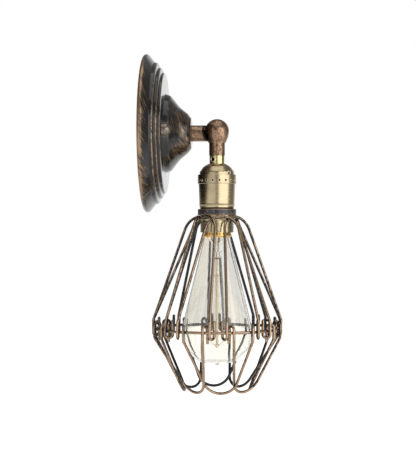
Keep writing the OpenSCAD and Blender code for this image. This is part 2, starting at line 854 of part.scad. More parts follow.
module thread_sleeve() {
  z0 = z_shell_end + sleeve_tuck;
  z1 = z_shell_end - seat_gap;
  z2 = z_collar_end - sleeve_edge;
  line = rounded([
    [sleeve_tuck_r, z0], [sleeve_tuck_r, z1], [sleeve_r, z1 - edge], [sleeve_r, z2],
    [sleeve_waist_r, z2 - sleeve_slope], [sleeve_waist_r, sleeve_bead_z + sleeve_bead_h],
    [sleeve_r, sleeve_bead_z + sleeve_bead_h / 2], [sleeve_waist_r, sleeve_bead_z],
    [cup_r, sleeve_bead_z - sleeve_edge], [cup_r, z_sleeve_end]], sleeve_bends, 3);
  color(old_brass) on_head() turned(sheet(line, -brass_t));
}

module cage_collar() {
  r = collar_d / 2;
  bore = sleeve_r + run_gap;
  color(dark_steel) on_head() turned([
    [bore, z_collar], [r - collar_edge, z_collar],
    [r, z_collar - collar_edge], [r, z_collar_end + collar_edge],
    [r - collar_edge, z_collar_end], [bore, z_collar_end]]);
}

module cage_ring() {
  color(dark_steel) on_head() translate([0, 0, z_ring])
    rotate_extrude($fn = 120) translate([ring_r, 0]) circle(r = wire_r, $fn = 32);
}

// Point at radius r, turn a and height z round the lamp's axis
function polar(r, a, z) = [r * cos(a), r * sin(a), z];

// Points of a hook under (flip = 1) or over (flip = -1) the ring, from its outer leg to its inner stub
function hook(a, skew, flip, rise) =
  let (z0 = z_ring - flip * hook_drop, turn = skew * hook_skew / ring_r * 180 / PI)
  concat(
    [for (i = [0:hook_steps])
      let (w = i / hook_steps, lift = hook_r * sin(180 * w))
      polar(ring_r + hook_r * cos(180 * w), a + turn * (1 - cos(180 * w)) / 2, z0 - flip * lift)],
    [polar(ring_r - hook_r, a + turn, z_ring + flip * rise)]);

// In-plane points of an arch of radius r that leaves towards the feet left and right, seen from its top
function arch_points(r, left, right, n) =
  let (
    dl = norm([left[0], left[1] - r]), dr = norm([right[0], right[1] - r]),
    fl = atan2(-left[0], left[1] - r) - asin(r / dl),
    fr = atan2(right[0], right[1] - r) - asin(r / dr),
    from = -(90 - fl), to = 90 - fr)
  [for (i = [0:n]) let (q = from + (to - from) * i / n) [r * sin(q), r * (1 - cos(q))]];

// A whole cage wire: hook, leg, arch, leg, hook
function cage_wire(mid, foot, top, top_turn, yaw, r, flip, kink, rise) =
  let (
    leg_l = polar(leg_r, mid - foot, z_ring + flip * kink),
    leg_p = polar(leg_r, mid + foot, z_ring + flip * kink),
    a = mid + top_turn,
    origin = polar(top[0], a, top[1]),
    down = unit((leg_l + leg_p) / 2 - origin),
    across = [-sin(a), cos(a), 0] * cos(yaw) + [cos(a), sin(a), 0] * sin(yaw),
    wide = unit(across - down * (across * down)),
    flat_l = [(leg_l - origin) * wide, (leg_l - origin) * down],
    flat_p = [(leg_p - origin) * wide, (leg_p - origin) * down],
    arch = [for (q = arch_points(r, flat_l, flat_p, arch_steps)) origin + wide * q[0] + down * q[1]],
    hook_l = reversed(hook(mid - foot, -1, flip, rise)),
    hook_p = hook(mid + foot, 1, flip, rise))
  concat(
    hook_l,
    bend(hook_l[len(hook_l) - 1], leg_l, arch[0], kink_bend, bend_steps),
    arch,
    bend(arch[arch_steps], leg_p, hook_p[0], kink_bend, bend_steps),
    hook_p);

module upper_loop(i) {
  mid = first_turn + wire_turn * (i - 1);
  top = [arch_reach, arch_z];
  color(black_coat) on_head()
    wire(cage_wire(mid, foot_turn, top, arch_turn, arch_yaw_turn, arch_r, 1, kink_rise, stub_rise),
      wire_d, wire_sides);
}

module lower_petal(i) {
  mid = first_turn + wire_turn * (i - 1);
  top = [petal_reach, petal_z];
  color(black_coat) on_head()
    wire(cage_wire(mid, petal_turn, top, petal_top_turn, petal_yaw_turn, petal_r, -1, petal_kink, petal_stub),
      wire_d, wire_sides);
}

// Bulb: straight taper from the neck to the shoulder, a round shoulder and a flat end with the sealed tip
bulb_line = concat(
  rounded([
    [bulb_neck_r, z_glass + bulb_rise], [bulb_neck_r, z_glass - bulb_start],
    [bulb_r + bulb_swell, z_bulb_wide],
    [bulb_r * bulb_low_share[0], z_bulb_flat + (z_bulb_wide - z_bulb_flat) * bulb_low_share[1]],
    [bulb_r * bulb_flat_share + bulb_flat_edge, z_bulb_flat], [tip_r + tip_foot, z_bulb_flat]],
    bulb_bends, 6),
  [for (s = tip_shares) [tip_r * s[0], -bulb_drop + tip_h * s[1]]], [[0, -bulb_drop]]);
module bulb_glass() {
  inner = beside(bulb_line, -glass_t);
  last = len(inner) - 1;
  color(clear_glass) on_head() turned(concat(bulb_line, [[0, -bulb_drop + tip_h * tip_in_share]],
    [for (i = [last - 3:-1:0]) inner[i]]));
}

// Screw base with rounded thread rings and a flared rim at the glass
module bulb_base() {
  crest = base_r;
  root = base_r - thread_depth;
  inner = root - base_t;
  z0 = z_base_top - contact_h - insulator_h;
  z_thread = z0 - thread_start;
  z_thread_end = z_thread - thread_turns * thread_pitch;
  thread = [for (i = [0:thread_turns * 4 - 1]) [i % 4 < 2 ? root : crest, z_thread - i * thread_pitch / 4]];
  z_rim = z_glass + base_show * base_rim_share;
  rim_r = base_r - base_rim;
  foot_r = bulb_neck_r + glass_gap;
  color(gold) on_head() turned(concat(
    [[0, z0], [insulator_r, z0], [root, z0 - base_edge]], thread,
    [[root, z_thread_end + base_foot], [root, z_rim],
      [rim_r, z_rim - base_edge], [rim_r, z_glass + base_rim_h],
     [foot_r + edge, z_glass], [foot_r, z_glass], [foot_r, z_glass + base_rim_h], [inner, z_rim],
     [inner, z0 - base_edge - base_t], [0, z0 - base_edge - base_t]]));
}

module bulb_base_insulator() {
  z1 = z_base_top - contact_h;
  z2 = z1 - insulator_h;
  color("#18181a") on_head() turned([
    [0, z1], [contact_r + insulator_step, z1],
    [insulator_r, z2 + insulator_edge], [insulator_r, z2], [0, z2]]);
}

module bulb_centre_contact() {
  crown = contact_crown_share;
  color(bright_steel) on_head() turned([
    [0, z_base_top], [contact_r * crown, z_base_top], [contact_r, z_base_top - contact_h * crown],
    [contact_r, z_base_top - contact_h], [0, z_base_top - contact_h]]);
}

// Glass stem: a flared foot fused to the neck, and a tube that ends in the rod's press
module bulb_stem() {
  foot = bulb_neck_r - glass_t - seat_gap;
  top = z_glass + stem_up;
  color(clear_glass) on_head() turned(rounded([
    [0, top], [foot, top], [foot, top - stem_foot_t], [stem_tip_r, z_glass - stem_foot_l],
    [stem_tip_r, stem_end + stem_press_l], [rod_d / 2 + stem_press_r, stem_end], [0, stem_end]],
    stem_bends, 4));
}

// Support rod with its two beads
module bulb_support_rod() {
  bead_r = bead_d / 2;
  color("#efe3bf") on_head() union() {
    translate([0, 0, rod_end]) cylinder(h = stem_end - stud_gap - rod_end, r = rod_d / 2, $fn = 32);
    for (z = [bead_top_z, bead_low_z]) translate([0, 0, z]) rotate_extrude($fn = 48)
      polygon([for (a = [-90:15:90]) [bead_r * cos(a), bead_r * bead_flat_share * sin(a)]]);
  }
}

// Filament: thin wire down from bead to bead, bowed outwards, once on each of several sides
module bulb_filament() {
  near = bead_d / 2 + filament_d;
  color("#6b6156") on_head() for (i = [0:filament_count - 1]) rotate([0, 0, i * 360 / filament_count])
    wire(rounded([
      [near, 0, bead_top_z], [filament_spread * filament_near_share, 0, bead_top_z - filament_fall],
      [filament_spread, 0, bead_low_z + filament_rise], [near, 0, bead_low_z]],
      [filament_bend, filament_bend], 2), filament_d, 4);
}

canopy();
crossbar();
canopy_studs();
stud_locknuts();
canopy_cap_nuts();
ground_screw();
arm_tube();
arm_locknut();
arm_lock_washer();
arm_half_ball();
ball_washer();
pivot_screw();
arm_leads();
head_half_ball();
head_leads();
socket_neck();
neck_set_screw();
socket_cap();
cap_screw();
vent_band();
socket_shell();
lampholder_body();
terminal_screws();
screw_shell();
contact_spring();
thread_sleeve();
cage_collar();
cage_ring();
bulb_glass();
bulb_base();
bulb_base_insulator();
bulb_centre_contact();
bulb_stem();
bulb_support_rod();
bulb_filament();
for (i = [1:wire_count]) {
  upper_loop(i);
  lower_petal(i);
}
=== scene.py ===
from math import cos, pi, radians, sin

import bmesh
import bpy
import numpy as np
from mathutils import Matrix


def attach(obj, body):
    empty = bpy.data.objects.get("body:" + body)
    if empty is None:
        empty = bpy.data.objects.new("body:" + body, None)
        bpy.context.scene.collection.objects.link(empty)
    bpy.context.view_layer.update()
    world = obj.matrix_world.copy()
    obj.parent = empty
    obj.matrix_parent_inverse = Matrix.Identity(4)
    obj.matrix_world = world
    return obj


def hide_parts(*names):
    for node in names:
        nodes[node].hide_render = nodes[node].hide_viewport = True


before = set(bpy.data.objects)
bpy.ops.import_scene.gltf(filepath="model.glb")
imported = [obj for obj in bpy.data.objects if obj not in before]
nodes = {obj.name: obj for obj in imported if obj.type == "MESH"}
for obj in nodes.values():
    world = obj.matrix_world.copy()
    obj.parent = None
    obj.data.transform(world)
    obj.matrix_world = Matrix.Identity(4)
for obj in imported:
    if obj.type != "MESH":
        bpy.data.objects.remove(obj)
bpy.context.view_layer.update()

# The camera stands where the photographer stood: level with the middle of the lamp, about a metre
# off and a little to the right of straight on, with a long lens.
camera_turn = radians(3.3)
camera_distance = 1.1
aim = np.array([0.056, 0.0, -0.089])
focal_length = 95.6
lens_data = bpy.data.cameras.new("camera")
lens_data.lens = focal_length
lens_data.sensor_width = 36.0
lens_data.clip_start = 0.01
camera = bpy.data.objects.new("camera", lens_data)
camera.location = aim + camera_distance * np.array([sin(camera_turn), -cos(camera_turn), 0.0])
camera.rotation_euler = (pi / 2, 0.0, camera_turn)
bpy.context.scene.collection.objects.link(camera)
bpy.context.scene.camera = camera
bpy.context.scene.view_settings.view_transform = "Standard"


# The room: white for the lens, and for gloss and glass a white sweep behind the lamp in a dim grey
# room, so that turned metal keeps its dark edges and clear glass its outline.
def place(tree, kind, sockets=(), **settings):
    """Places one node. A socket is given either a value or the output of another node."""
    node = tree.nodes.new(kind)
    for name, value in settings.items():
        setattr(node, name, value)
    for name, value in dict(sockets).items():
        if isinstance(value, bpy.types.NodeSocket):
            tree.links.new(value, node.inputs[name])
        else:
            node.inputs[name].default_value = value
    return node


sweep_way = (0.30, 0.954, 0.0)
sweep_starts, sweep_full = 0.86, 0.97
room_grey = 0.22
room_in_gloss = 0.16
room_in_glass = 0.80
room = bpy.data.worlds.new("room")
room.use_nodes = True
bpy.context.scene.world = room
tree = room.node_tree
tree.nodes.clear()
rays = place(tree, "ShaderNodeLightPath")
direction = place(tree, "ShaderNodeTexCoord")
behind = place(tree, "ShaderNodeVectorMath", {0: direction.outputs["Generated"], 1: sweep_way},
               operation="DOT_PRODUCT")
sweep = place(tree, "ShaderNodeMapRange", {"Value": behind.outputs["Value"], "From Min": sweep_starts,
                                           "From Max": sweep_full, "To Min": room_in_gloss, "To Max": 1.0})
through = place(tree, "ShaderNodeMath", {0: sweep.outputs["Result"], 1: room_in_glass},
                operation="MAXIMUM")
clear = place(tree, "ShaderNodeMath", {0: rays.outputs["Is Transmission Ray"], 1: through.outputs[0]},
              operation="MULTIPLY")
plain = place(tree, "ShaderNodeMath", {0: rays.outputs["Is Camera Ray"], 1: clear.outputs[0]},
              operation="MAXIMUM")
glossy = place(tree, "ShaderNodeMath", {0: rays.outputs["Is Glossy Ray"], 1: sweep.outputs["Result"]},
               operation="MULTIPLY")
seen = place(tree, "ShaderNodeMath", {0: plain.outputs[0], 1: glossy.outputs[0]}, operation="MAXIMUM")
level = place(tree, "ShaderNodeMath", {0: seen.outputs[0], 1: room_grey}, operation="MAXIMUM")
sky = place(tree, "ShaderNodeBackground", {"Color": (1.0, 1.0, 1.0, 1.0), "Strength": level.outputs[0]})
place(tree, "ShaderNodeOutputWorld", {"Surface": sky.outputs[0]})


# Three soft boxes: a wide one to the right of the lens, a weaker one to the left and one overhead.
# Power is brightness times pi times the area of the box.
def soft_box(name, turn, rise, distance, width, height, brightness):
    """An area lamp that faces the aim from a turn and a rise in degrees, at a distance."""
    data = bpy.data.lights.new(name, "AREA")
    data.shape = "RECTANGLE"
    data.size = width
    data.size_y = height
    data.energy = brightness * pi * width * height
    box = bpy.data.objects.new(name, data)
    turn = radians(turn)
    rise = radians(rise)
    box.location = aim + distance * np.array([sin(turn) * cos(rise), -cos(turn) * cos(rise), sin(rise)])
    box.rotation_euler = (pi / 2 - rise, 0.0, turn)
    bpy.context.scene.collection.objects.link(box)


soft_box("soft_box_right", turn=47, rise=10, distance=1.6, width=2.1, height=1.2, brightness=2.0)
soft_box("soft_box_left", turn=-38, rise=6, distance=1.7, width=2.1, height=1.3, brightness=0.62)
soft_box("soft_box_top", turn=20, rise=78, distance=1.5, width=1.5, height=1.5, brightness=1.1)


# The floor: a plain white sheet under the lamp. It glows just enough for the lens to see white,
# and fully so far off, where it meets the room. A shadow still falls on it.
def object_place(tree):
    """The place on the piece itself, in metres, so that a pattern moves with it."""
    return place(tree, "ShaderNodeTexCoord").outputs["Object"]


floor_z = -0.45
floor_size = 4.0
glow_near = 0.76
glow_in_gloss = 0.55
glow_rises_from, glow_is_full = 0.5, 1.6
floor_mesh = bpy.data.meshes.new("floor")
corners = np.array([[-1, -1], [1, -1], [1, 1], [-1, 1]]) * floor_size
floor_mesh.from_pydata([(x, y, floor_z) for x, y in corners], [], [(0, 1, 2, 3)])
floor = bpy.data.objects.new("floor", floor_mesh)
bpy.context.scene.collection.objects.link(floor)
floor_paint = bpy.data.materials.new("floor_white")
floor_paint.use_nodes = True
tree = floor_paint.node_tree
shader = tree.nodes["Principled BSDF"]
shader.inputs["Base Color"].default_value = (0.85, 0.85, 0.85, 1.0)
shader.inputs["Roughness"].default_value = 0.9
shader.inputs["Emission Color"].default_value = (1.0, 1.0, 1.0, 1.0)
rays = place(tree, "ShaderNodeLightPath")
plain = place(tree, "ShaderNodeMath", {
    0: rays.outputs["Is Camera Ray"], 1: rays.outputs["Is Transmission Ray"]}, operation="MAXIMUM")
gloss = place(tree, "ShaderNodeMath", {0: rays.outputs["Is Glossy Ray"], 1: glow_in_gloss},
              operation="MULTIPLY")
seen = place(tree, "ShaderNodeMath", {0: plain.outputs[0], 1: gloss.outputs[0]}, operation="MAXIMUM")
away = place(tree, "ShaderNodeVectorMath", {0: object_place(tree)}, operation="LENGTH")
far = place(tree, "ShaderNodeMapRange", {
    "Value": away.outputs["Value"], "From Min": glow_rises_from, "From Max": glow_is_full,
    "To Min": glow_near, "To Max": 1.0})
glow = place(tree, "ShaderNodeMath", {0: seen.outputs[0], 1: far.outputs["Result"]}, operation="MULTIPLY")
tree.links.new(glow.outputs[0], shader.inputs["Emission Strength"])
floor_mesh.materials.append(floor_paint)


# Wall plate: one spun steel sheet with a rolled rim, stepped rings and a bell, painted black and
# then dry brushed with copper gold, which catches on the crests of its rings.
def material(name, colour, metallic, roughness, **others):
    """A material with one Principled shader whose plain values are set on its own sockets."""
    mat = bpy.data.materials.new(name)
    mat.use_nodes = True
    shader = mat.node_tree.nodes["Principled BSDF"]
    shader.inputs["Base Color"].default_value = (*colour, 1.0)
    shader.inputs["Metallic"].default_value = metallic
    shader.inputs["Roughness"].default_value = roughness
    for socket, value in others.items():
        shader.inputs[socket.replace("_", " ")].default_value = value
    return mat, mat.node_tree, shader


def noise_at(tree, spot, scale, detail):
    """Plain cloud noise at a place, as a share round one half."""
    noise = place(tree, "ShaderNodeTexNoise", {"Vector": spot, "Scale": scale, "Detail": detail})
    return noise.outputs["Fac"]


def placed_effect(tree, group, spot, **values):
    """One of the shared effects at a place, with its own values."""
    node = place(tree, "ShaderNodeGroup", node_tree=group)
    tree.links.new(spot, node.inputs["Vector"])
    for name, value in values.items():
        node.inputs[name].default_value = value
    return node


def tinted(tree, shader, share, low, high):
    """Base colour that runs from the low to the high colour with a share."""
    mix = place(tree, "ShaderNodeMix", {"Factor": share, 6: (*low, 1.0), 7: (*high, 1.0)}, data_type="RGBA")
    tree.links.new(mix.outputs[2], shader.inputs["Base Color"])


def glossed(tree, shader, share, low, high):
    """Roughness that runs from low to high with a share."""
    gloss = place(tree, "ShaderNodeMapRange", {"Value": share, "To Min": low, "To Max": high})
    tree.links.new(gloss.outputs["Result"], shader.inputs["Roughness"])


def bumped(tree, shader, height, strength, depth):
    """Relief of a small depth in metres from a height."""
    grit = place(tree, "ShaderNodeBump", {"Height": height, "Strength": strength, "Distance": depth})
    tree.links.new(grit.outputs[0], shader.inputs["Normal"])


def effect(name, inputs, outputs):
    """An empty shader node group with named number or vector sockets, and its two end nodes."""
    group = bpy.data.node_groups.new(name, "ShaderNodeTree")
    for socket, start in inputs.items():
        kind = "NodeSocketVector" if start is None else "NodeSocketFloat"
        made = group.interface.new_socket(name=socket, in_out="INPUT", socket_type=kind)
        if start is not None:
            made.default_value = start
    for socket in outputs:
        group.interface.new_socket(name=socket, in_out="OUTPUT", socket_type="NodeSocketFloat")
    return group, group.nodes.new("NodeGroupInput"), group.nodes.new("NodeGroupOutput")


def unit(v):
    """Vectors brought to a length of one."""
    return v / np.linalg.norm(v, axis=-1, keepdims=True)


def arc_at(before, corner, after, radius, steps):
    """Points of the arc that touches both legs of a corner. It starts before the corner by its
    radius times the tangent of half the turn, and runs from there by cosine and sine."""
    into, out = unit(corner - before), unit(after - corner)
    turn = np.arccos(np.clip(into @ out, -1, 1))
    side = unit(out - into * (into @ out))
    centre = corner - into * radius * np.tan(turn / 2) + side * radius
    along = np.linspace(0, turn, steps)[:, None]
    return centre - side * radius * np.cos(along) + into * radius * np.sin(along)


def smooth_line(corners, bends, steps=14):
    """An open outline through its corners, each inner corner rounded by its own radius."""
    corners = np.asarray(corners, float)
    parts = [corners[:1]]
    for number, radius in enumerate(bends):
        parts.append(arc_at(corners[number], corners[number + 1], corners[number + 2], radius, steps))
    return np.vstack(parts + [corners[-1:]])


def moved_in(line, wall):
    """An open outline moved square to itself by a wall's thickness, to the right of its way."""
    heading = unit(np.gradient(line, axis=0))
    return line + wall * np.stack([heading[:, 1], -heading[:, 0]], axis=-1)


def skin(name, points, wear_and_painted_light=None, closed_along=False, grain=None):
    """A mesh over a grid of points, rows along the piece and columns round it. Rows that close are
    joined, points that fall together, as at a pole, are made one, and a share of brushed wear, which
    on the cage is also painted light, and a place in a pattern may be kept on each point."""
    rows, columns = points.shape[:2]
    down = np.arange(rows if closed_along else rows - 1)[:, None]
    over = np.arange(columns)[None, :]
    below = (down + 1) % rows
    beside = (over + 1) % columns
    quads = np.stack([down * columns + over, down * columns + beside, below * columns + beside,
                      below * columns + over], axis=-1).reshape(-1, 4)
    mesh = bpy.data.meshes.new(name)
    mesh.from_pydata(points.reshape(-1, 3).tolist(), [], quads.tolist())
    if wear_and_painted_light is not None:
        mark = np.broadcast_to(wear_and_painted_light, (rows, columns)).astype(np.float32).ravel()
        mesh.attributes.new("wear_and_painted_light", "FLOAT", "POINT").data.foreach_set("value", mark)
    if grain is not None:
        placed = grain.astype(np.float32).ravel()
        mesh.attributes.new("grain", "FLOAT_VECTOR", "POINT").data.foreach_set("vector", placed)
    tidy = bmesh.new()
    tidy.from_mesh(mesh)
    bmesh.ops.remove_doubles(tidy, verts=tidy.verts, dist=1e-7)
    bmesh.ops.recalc_face_normals(tidy, faces=tidy.faces)
    tidy.to_mesh(mesh)
    tidy.free()
    mesh.shade_smooth()
    piece = bpy.data.objects.new(name, mesh)
    bpy.context.scene.collection.objects.link(piece)
    return piece


def finished(piece, mat, body, slot, *replaced):
    """Gives a new piece its material and the body it rides on, and hides the nodes it stands for. The slot is
    not used.
    """
    piece.data.materials.append(mat)
    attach(piece, body)
    if replaced:
        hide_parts(*replaced)


def make_brush_marks():
    """Long thin marks of a nearly dry brush: noise drawn out along one way, cut off at a level,
    and broken up by a second, coarser noise."""
    sockets = {"Vector": None, "Scale": 300.0, "Level": 0.5, "Softness": 0.08}
    group, given, result = effect("brush_marks", sockets, ["Mask", "Height"])
    marks = place(group, "ShaderNodeMapping", {"Vector": given.outputs["Vector"], "Scale": (1.0, 1.0, 0.11)},
                  vector_type="POINT")
    lines = place(group, "ShaderNodeTexNoise", {"Vector": marks.outputs[0], "Scale": given.outputs["Scale"],
                                                "Detail": 3.0, "Roughness": 0.55})
    coarse = place(group, "ShaderNodeMath", {0: given.outputs["Scale"], 1: 0.12}, operation="MULTIPLY")
    patches = noise_at(group, given.outputs["Vector"], coarse.outputs[0], 2.0)
    mixed = place(group, "ShaderNodeMath", {0: patches, 1: 0.4, 2: lines.outputs["Fac"]},
                  operation="MULTIPLY_ADD")
    low = place(group, "ShaderNodeMath", {0: given.outputs["Level"], 1: given.outputs["Softness"]},
                operation="SUBTRACT")
    high = place(group, "ShaderNodeMath", {0: given.outputs["Level"], 1: given.outputs["Softness"]},
                 operation="ADD")
    mask = place(group, "ShaderNodeMapRange", {"Value": mixed.outputs[0], "From Min": low.outputs[0],
                                               "From Max": high.outputs[0]})
    group.links.new(mask.outputs["Result"], result.inputs["Mask"])
    group.links.new(lines.outputs["Fac"], result.inputs["Height"])
    return group


brush_marks = make_brush_marks()
coat_black = (0.010, 0.009, 0.009)
brushed_gold = (0.38, 0.235, 0.13)
sheet = 0.001
bend_steps = 9
plate_line = smooth_line(np.array([
    (0.0, 65.8), (0.0, 74.5), (9.46, 62.7), (12.6, 62.1), (13.3, 58.1), (15.7, 57.5), (16.4, 53.7),
    (18.3, 53.2), (18.5, 50.5), (18.5, 35.0), (23.4, 33.3), (31.4, 23.0), (38.6, 17.1), (41.5, 13.4),
    (41.5, 5.1)]) / 1000,
    np.array([2.5, 0.7, 2.4, 0.5, 2.2, 0.5, 1.2, 1.0, 0.8, 4.0, 14.0, 3.0, 1.6]) / 1000, bend_steps)
plate_back = moved_in(plate_line, sheet)
outline = np.vstack([plate_line, plate_back[::-1]])
around = np.linspace(0, 2 * pi, 256, endpoint=False)[None, :]
disc = np.stack(np.broadcast_arrays(outline[:, :1], outline[:, 1:] * np.cos(around),
                                    outline[:, 1:] * np.sin(around)), axis=-1)

# How much of the brush each rounded corner of the plate takes, at its ends and at its middle. The
# back takes none, and the plate's top and foot take less than its sides.
crests = np.array([(0.5, 0.9), (0.1, 0.0), (0.1, 0.85), (0.0, 0.0), (0.05, 0.85), (0.0, 0.0), (0.05, 0.85),
                   (0.0, 0.0), (0.0, 0.0), (0.2, 0.45), (0.5, 0.5), (0.6, 0.7), (0.4, 0.95)])
edge_taken = 0.3
mouth_taken = 0.5
rise = np.sin(np.linspace(0, pi, bend_steps)) ** 2
taken = (crests[:, :1] + (crests[:, 1:] - crests[:, :1]) * rise).ravel()
taken = np.concatenate([[edge_taken], taken, [mouth_taken], np.zeros(len(plate_back))])
side_share = 0.3 + 0.7 * np.clip(1.5 * np.abs(np.cos(around)), 0, 1)

# Brush marks run as spirals over rim and bell: the turn of the pattern grows with the way along
# the outline, and a mark is about as wide on the bell as on the rim.
bell_foot = 0.043
rim_marks = 0.066
bell_marks = 0.024
slant = 1.5
way = np.concatenate([[0.0], np.cumsum(np.linalg.norm(np.diff(outline, axis=0), axis=1))])[:, None]
mark_radius = np.where(outline[:, 1] > bell_foot, rim_marks, bell_marks)[:, None]
spiral = around - slant * way / mark_radius
marks = np.stack(np.broadcast_arrays(mark_radius * np.cos(spiral), mark_radius * np.sin(spiral), way),
                 axis=-1)

plate_coat, tree, shader = material("black_coat_brushed", coat_black, 0.0, 0.22, IOR=1.38, Coat_Weight=1.0,
                                    Coat_Roughness=0.05, Coat_IOR=1.28)
grain = place(tree, "ShaderNodeAttribute", attribute_name="grain")
strokes = placed_effect(tree, brush_marks, grain.outputs["Vector"], Scale=1200.0, Softness=0.06)
wear_and_painted_light = place(tree, "ShaderNodeAttribute", attribute_name="wear_and_painted_light")
level = place(tree, "ShaderNodeMath", {0: wear_and_painted_light.outputs["Fac"], 1: -0.45, 2: 1.0}, operation="MULTIPLY_ADD")
tree.links.new(level.outputs[0], strokes.inputs["Level"])
tinted(tree, shader, strokes.outputs["Mask"], coat_black, brushed_gold)
tree.links.new(strokes.outputs["Mask"], shader.inputs["Metallic"])
glossed(tree, shader, strokes.outputs["Mask"], 0.22, 0.32)
bumped(tree, shader, strokes.outputs["Mask"], 0.2, 0.0001)
plate = skin("spun_plate", disc, taken[:, None] * side_share, closed_along=True, grain=marks)
finished(plate, plate_coat, "wall_base", "plate_coat", "canopy")


# Bracket behind the plate with its studs and their nuts, the nut and toothed washer that hold the
# arm, and the ball's slotted screw: stamped and cut steel with a thin zinc plating gone cloudy.
def dress(mat, *names):
    """Gives CAD nodes the material in each of their slots."""
    for name in names:
        for held in nodes[name].material_slots:
            held.material = mat


zinc, tree, shader = material("zinc_plating", (0.52, 0.53, 0.54), 1.0, 0.38)
cloud = noise_at(tree, object_place(tree), 260.0, 4.0)
tinted(tree, shader, cloud, (0.38, 0.38, 0.40), (0.66, 0.66, 0.65))
glossed(tree, shader, cloud, 0.28, 0.5)
dress(zinc, "crossbar", "canopy_studs", "stud_locknuts", "arm_locknut", "arm_lock_washer", "pivot_screw")

# Ground screw: the small steel screw in the bracket that takes the earth wire, dipped in a green
# lacquer that has worn thin.
green, tree, shader = material("ground_screw_green", (0.06, 0.22, 0.07), 0.7, 0.35)
tinted(tree, shader, noise_at(tree, object_place(tree), 700.0, 3.0), (0.03, 0.16, 0.05), (0.16, 0.34, 0.14))
dress(green, "ground_screw")


# Arm, swivel ball and stem: steel and brass turnings with an aged copper finish, mottled brown
# with small bright flecks. The two halves of the ball turn on a slotted screw.
def make_mottling():
    """Blotches of an aged finish: the tone is a coarse noise plus half a fine one, and small light
    flecks lie where the fine noise rises over a level."""
    group, given, result = effect("mottling", {"Vector": None, "Scale": 300.0, "Flecks": 0.64},
                                  ["Tone", "Flecks", "Height"])
    coarse = place(group, "ShaderNodeTexNoise", {
        "Vector": given.outputs["Vector"], "Scale": given.outputs["Scale"], "Detail": 5.0, "Roughness": 0.65,
        "Distortion": 0.6})
    finer = place(group, "ShaderNodeMath", {0: given.outputs["Scale"], 1: 3.3}, operation="MULTIPLY")
    fine = place(group, "ShaderNodeTexNoise", {"Vector": given.outputs["Vector"], "Scale": finer.outputs[0],
                                               "Detail": 3.0, "Roughness": 0.6})
    both = place(group, "ShaderNodeMath", {0: fine.outputs["Fac"], 1: 0.5, 2: coarse.outputs["Fac"]},
                 operation="MULTIPLY_ADD")
    tone = place(group, "ShaderNodeMapRange", {"Value": both.outputs[0], "From Min": 0.55, "From Max": 0.95})
    over = place(group, "ShaderNodeMath", {0: given.outputs["Flecks"], 1: 0.06}, operation="ADD")
    flecks = place(group, "ShaderNodeMapRange", {
        "Value": fine.outputs["Fac"], "From Min": given.outputs["Flecks"], "From Max": over.outputs[0]})
    group.links.new(tone.outputs["Result"], result.inputs["Tone"])
    group.links.new(flecks.outputs["Result"], result.inputs["Flecks"])
    group.links.new(both.outputs[0], result.inputs["Height"])
    return group


mottling = make_mottling()


def mottled_metal(name, dark, bright, fleck, scale, roughness, bump):
    """A metal whose colour runs from dark to bright with the mottling, with flecks of a third tone,
    and whose dark blotches are rougher."""
    mat, tree, shader = material(name, bright, 1.0, roughness)
    age = placed_effect(tree, mottling, object_place(tree), Scale=scale)
    tone = place(tree, "ShaderNodeMix", {"Factor": age.outputs["Tone"], 6: (*dark, 1.0), 7: (*bright, 1.0)},
                 data_type="RGBA")
    colour = place(tree, "ShaderNodeMix", {"Factor": age.outputs["Flecks"], 6: tone.outputs[2],
                                           7: (*fleck, 1.0)}, data_type="RGBA")
    tree.links.new(colour.outputs[2], shader.inputs["Base Color"])
    glossed(tree, shader, age.outputs["Tone"], roughness + 0.14, roughness)
    bumped(tree, shader, age.outputs["Height"], bump, 0.0002)
    return mat


aged_copper = mottled_metal("aged_copper", (0.05, 0.028, 0.016), (0.50, 0.325, 0.21), (0.80, 0.62, 0.48),
                            520.0, 0.25, 0.35)
dress(aged_copper, "arm_tube", "arm_half_ball", "head_half_ball")

# Cap nuts: two small domed nuts, turned from bronze that has gone grey brown. They run on the
# studs and hold the plate.
nut_bronze = mottled_metal("nut_bronze", (0.09, 0.075, 0.06), (0.36, 0.30, 0.24), (0.62, 0.55, 0.46),
                           520.0, 0.26, 0.2)
dress(nut_bronze, "canopy_cap_nuts")

# Black oiled steel: the dished washer pressed between arm and ball, whose black is partly painted
# shade of the gap there, and the two small cut screws of the socket's neck and cap.
black_steel = mottled_metal("black_steel", (0.008, 0.008, 0.009), (0.025, 0.024, 0.024), (0.09, 0.08, 0.07),
                            500.0, 0.32, 0.15)
# The washer's black also stands as painted shade in the gap between arm and ball.
dress(black_steel, "ball_washer", "neck_set_screw", "cap_screw")

# Leads: two wires in drawn black insulation, from the wall box through the arm to the ball, and
# from the ball to the lampholder's terminals.
insulation, tree, shader = material("lead_insulation", (0.02, 0.02, 0.022), 0.0, 0.42)
bumped(tree, shader, noise_at(tree, object_place(tree), 900.0, 2.0), 0.1, 0.0001)
dress(insulation, "arm_leads", "head_leads")


# Socket: a turned neck in polished brass, then cap, vent band and shell pressed from brass sheet
# with a satin olive lacquer that was wiped round the lathe.
def make_lathe_lines():
    """Fine rings left by a lathe or a spinning wipe: noise that changes fast along the axis and
    hardly at all round it."""
    group, given, result = effect("lathe_lines", {"Vector": None, "Scale": 2600.0}, ["Fac"])
    apart = place(group, "ShaderNodeSeparateXYZ", {0: given.outputs["Vector"]})
    squeezed = place(group, "ShaderNodeVectorMath", {0: given.outputs["Vector"], 1: (0.02, 0.02, 0.0)},
                     operation="MULTIPLY")
    along = place(group, "ShaderNodeCombineXYZ", {"Z": apart.outputs["Z"]})
    spot = place(group, "ShaderNodeVectorMath", {0: squeezed.outputs[0], 1: along.outputs[0]},
                 operation="ADD")
    lines = noise_at(group, spot.outputs[0], given.outputs["Scale"], 4.0)
    group.links.new(lines, result.inputs["Fac"])
    return group


lathe_lines = make_lathe_lines()


